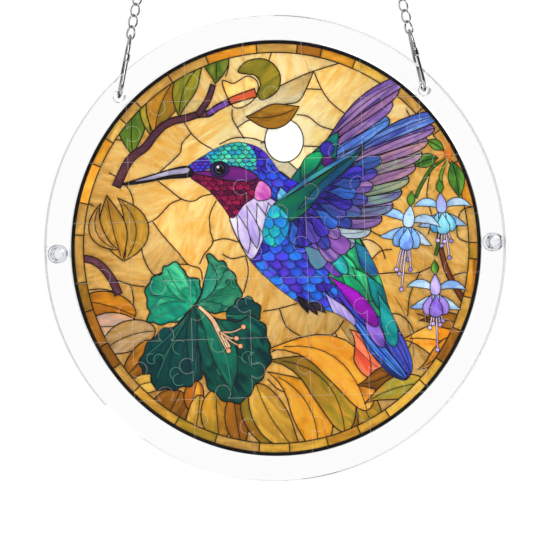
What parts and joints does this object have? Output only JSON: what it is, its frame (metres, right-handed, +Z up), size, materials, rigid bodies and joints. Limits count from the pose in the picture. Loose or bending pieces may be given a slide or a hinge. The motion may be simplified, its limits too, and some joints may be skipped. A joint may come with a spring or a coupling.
{
  "type": "acrylic puzzle suncatcher",
  "caption": "Round suncatcher with a stained-glass style picture puzzle between clear acrylic discs, on two thin silver chains.",
  "frame": {"origin": "point where a hook holds the top ring, on the inside of the ring at its top", "axes": "+Z up along the hanging line, -Y towards the viewer of the picture, +X to the picture's right"},
  "size_m": [0.2, 0.011, 0.4709],
  "materials": {
    "clear_acrylic": "clear polished cast acrylic",
    "clear_rivet": "clear moulded plastic",
    "picture_amber": "printed translucent acrylic, amber",
    "picture_blue": "printed translucent acrylic, blue and violet",
    "picture_green": "printed translucent acrylic, deep green",
    "picture_leaf": "printed translucent acrylic, leaf green and brown",
    "picture_pale": "printed translucent acrylic, pale blue",
    "bright_wire": "bright nickel-plated steel wire"
  },
  "bodies": {
    "root": {"back_plate": "clear_acrylic", "front_plate": "clear_acrylic", "left_chain": "bright_wire", "left_hanger": "bright_wire", "left_rivet": "clear_rivet", "middle_ring": "clear_acrylic", "puzzle_piece_r1_c2": "picture_amber", "puzzle_piece_r1_c3": "picture_leaf", "puzzle_piece_r1_c4": "picture_amber", "puzzle_piece_r1_c5": "picture_amber", "puzzle_piece_r1_c6": "picture_amber", "puzzle_piece_r2_c1": "picture_amber", "puzzle_piece_r2_c2": "picture_leaf", "puzzle_piece_r2_c3": "picture_leaf", "puzzle_piece_r2_c4": "picture_amber", "puzzle_piece_r2_c5": "picture_amber", "puzzle_piece_r2_c6": "picture_blue", "puzzle_piece_r2_c7": "picture_amber", "puzzle_piece_r3_c1": "picture_amber", "puzzle_piece_r3_c2": "picture_amber", "puzzle_piece_r3_c3": "picture_blue", "puzzle_piece_r3_c4": "picture_blue", "puzzle_piece_r3_c5": "picture_blue", "puzzle_piece_r3_c6": "picture_blue", "puzzle_piece_r3_c7": "picture_pale", "puzzle_piece_r4_c1": "picture_amber", "puzzle_piece_r4_c2": "picture_leaf", "puzzle_piece_r4_c3": "picture_amber", "puzzle_piece_r4_c4": "picture_blue", "puzzle_piece_r4_c5": "picture_blue", "puzzle_piece_r4_c6": "picture_pale", "puzzle_piece_r4_c7": "picture_pale", "puzzle_piece_r5_c1": "picture_amber", "puzzle_piece_r5_c2": "picture_green", "puzzle_piece_r5_c3": "picture_green", "puzzle_piece_r5_c4": "picture_amber", "puzzle_piece_r5_c5": "picture_blue", "puzzle_piece_r5_c6": "picture_amber", "puzzle_piece_r5_c7": "picture_pale", "puzzle_piece_r6_c1": "picture_amber", "puzzle_piece_r6_c2": "picture_green", "puzzle_piece_r6_c3": "picture_green", "puzzle_piece_r6_c4": "picture_amber", "puzzle_piece_r6_c5": "picture_amber", "puzzle_piece_r6_c6": "picture_blue", "puzzle_piece_r6_c7": "picture_amber", "puzzle_piece_r7_c2": "picture_amber", "puzzle_piece_r7_c3": "picture_amber", "puzzle_piece_r7_c4": "picture_amber", "puzzle_piece_r7_c5": "picture_amber", "puzzle_piece_r7_c6": "picture_amber", "right_chain": "bright_wire", "right_hanger": "bright_wire", "right_rivet": "clear_rivet", "top_ring": "bright_wire"}
  },
  "joints": []
}
